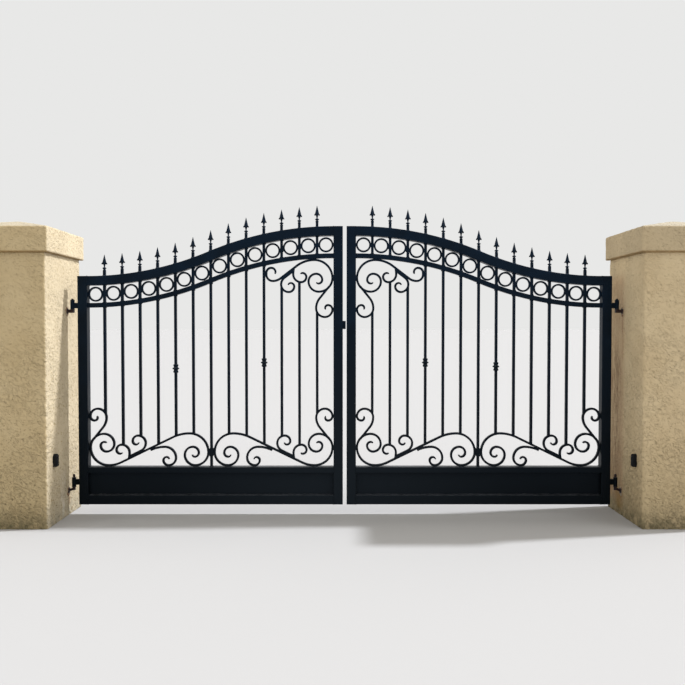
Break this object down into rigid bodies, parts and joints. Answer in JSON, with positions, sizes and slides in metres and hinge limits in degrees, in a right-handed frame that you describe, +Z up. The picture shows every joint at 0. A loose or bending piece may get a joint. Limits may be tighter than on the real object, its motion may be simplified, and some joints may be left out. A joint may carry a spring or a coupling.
{
  "type": "double-leaf wrought iron driveway gate with stucco pillars",
  "caption": "Double swing driveway gate of square iron bars with scrollwork, a band of rings, spear finials and solid kick panels, hung on pintles between stuccoed masonry pillars.",
  "frame": {"origin": "middle of the object's footprint, on the paving under both pillars", "axes": "+X across the driveway to the right as seen from the street, +Y away from the street, +Z up"},
  "size_m": [5.08, 0.65, 2.1341],
  "materials": {
    "stucco": "skip-trowelled tan stucco",
    "black_iron": "satin black paint over welded steel",
    "hinge_iron": "dull dark paint with some rust",
    "sensor_plastic": "matt black moulding"
  },
  "bodies": {
    "posts": {"left_pillar": "stucco", "right_pillar": "stucco", "left_pillar_cap": "stucco", "right_pillar_cap": "stucco", "left_upper_pintle": "hinge_iron", "left_lower_pintle": "hinge_iron", "right_upper_pintle": "hinge_iron", "right_lower_pintle": "hinge_iron", "left_sensor": "sensor_plastic", "right_sensor": "sensor_plastic"},
    "left_leaf": {"left_hinge_stile": "black_iron", "left_meeting_stile": "black_iron", "left_top_rail": "black_iron", "left_ring_rail": "black_iron", "left_mid_rail": "black_iron", "left_bottom_rail": "black_iron", "left_kick_panel": "black_iron", "left_pickets": "black_iron", "left_ring_bars": "black_iron", "left_rings": "black_iron", "left_finials": "black_iron", "left_bottom_scrolls": "black_iron", "left_top_scroll": "black_iron", "left_scroll_collar": "black_iron", "left_knuckles": "black_iron", "left_upper_hinge_eye": "black_iron", "left_lower_hinge_eye": "black_iron", "latch_block": "black_iron"},
    "right_leaf": {"right_hinge_stile": "black_iron", "right_meeting_stile": "black_iron", "right_top_rail": "black_iron", "right_ring_rail": "black_iron", "right_mid_rail": "black_iron", "right_bottom_rail": "black_iron", "right_kick_panel": "black_iron", "right_pickets": "black_iron", "right_ring_bars": "black_iron", "right_rings": "black_iron", "right_finials": "black_iron", "right_bottom_scrolls": "black_iron", "right_top_scroll": "black_iron", "right_scroll_collar": "black_iron", "right_knuckles": "black_iron", "right_upper_hinge_eye": "black_iron", "right_lower_hinge_eye": "black_iron"}
  },
  "joints": [
    {"name": "left_leaf_swing", "type": "hinge", "parent": "posts", "child": "left_leaf", "pos_m": [-1.874, 0.054, 0.2], "axis": [0, 0, 1], "range_deg": [0, 90]},
    {"name": "right_leaf_swing", "type": "hinge", "parent": "posts", "child": "right_leaf", "pos_m": [1.874, 0.054, 0.2], "axis": [0, 0, -1], "range_deg": [0, 90]}
  ]
}
